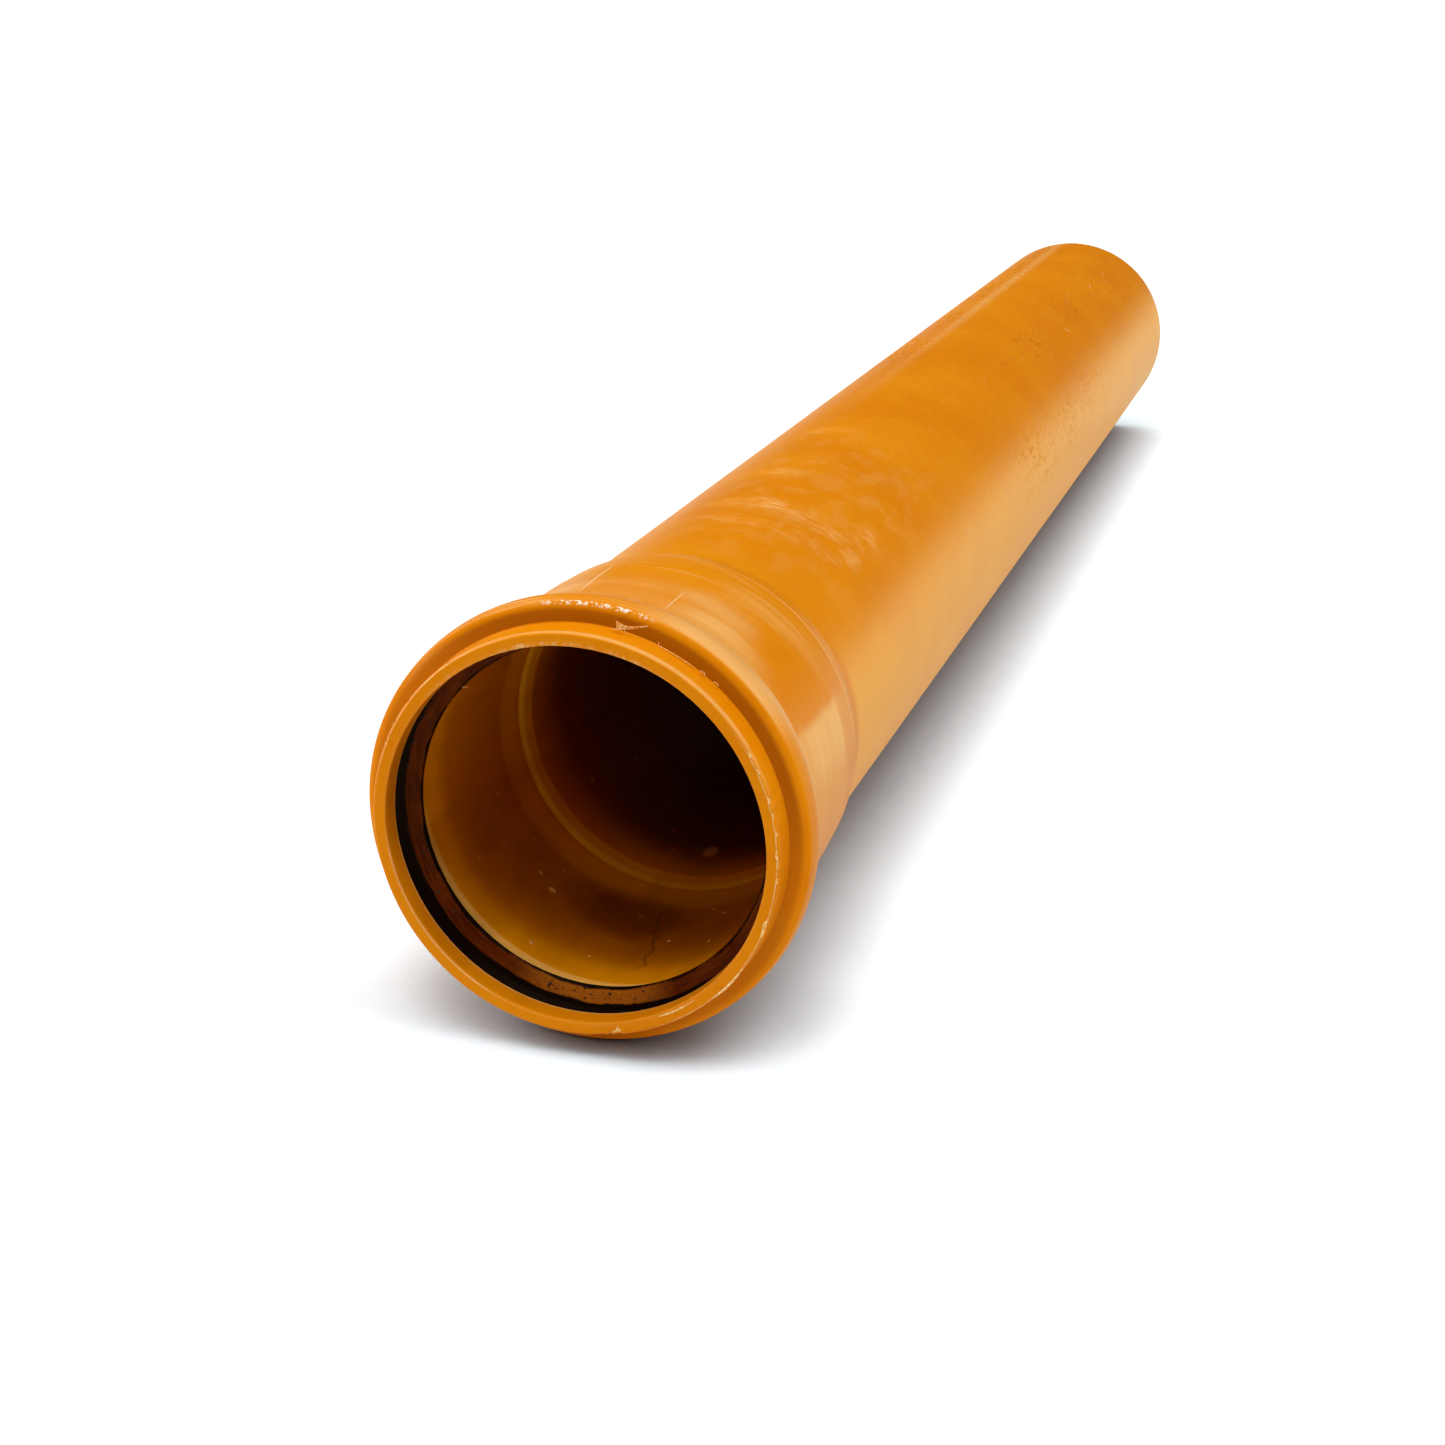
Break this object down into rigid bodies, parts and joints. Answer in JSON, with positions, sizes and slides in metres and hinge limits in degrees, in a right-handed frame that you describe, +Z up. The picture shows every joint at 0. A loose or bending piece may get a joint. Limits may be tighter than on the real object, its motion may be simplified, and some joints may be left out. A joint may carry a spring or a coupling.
{
  "type": "cable protection pipe",
  "caption": "Straight plastic duct pipe with a beaded push-fit socket and rubber lip seal at one end and a plain spigot at the other, for running cables underground.",
  "frame": {"origin": "floor level under the middle of the pipe's overall length", "axes": "+Y along the pipe from the socket's mouth to the plain end, +Z up from the floor; the pipe's own axis dips 0.71 degrees towards the plain end, because the bead lifts the socket"},
  "size_m": [0.1492, 1.0016, 0.1492],
  "materials": {
    "pipe": "smooth orange-ochre pipe plastic, satin gloss, scuffed and a little dirty",
    "seal_ring": "black sealing rubber, dusty and damp"
  },
  "bodies": {
    "root": {"pipe": "pipe", "seal_ring": "seal_ring"}
  },
  "joints": []
}
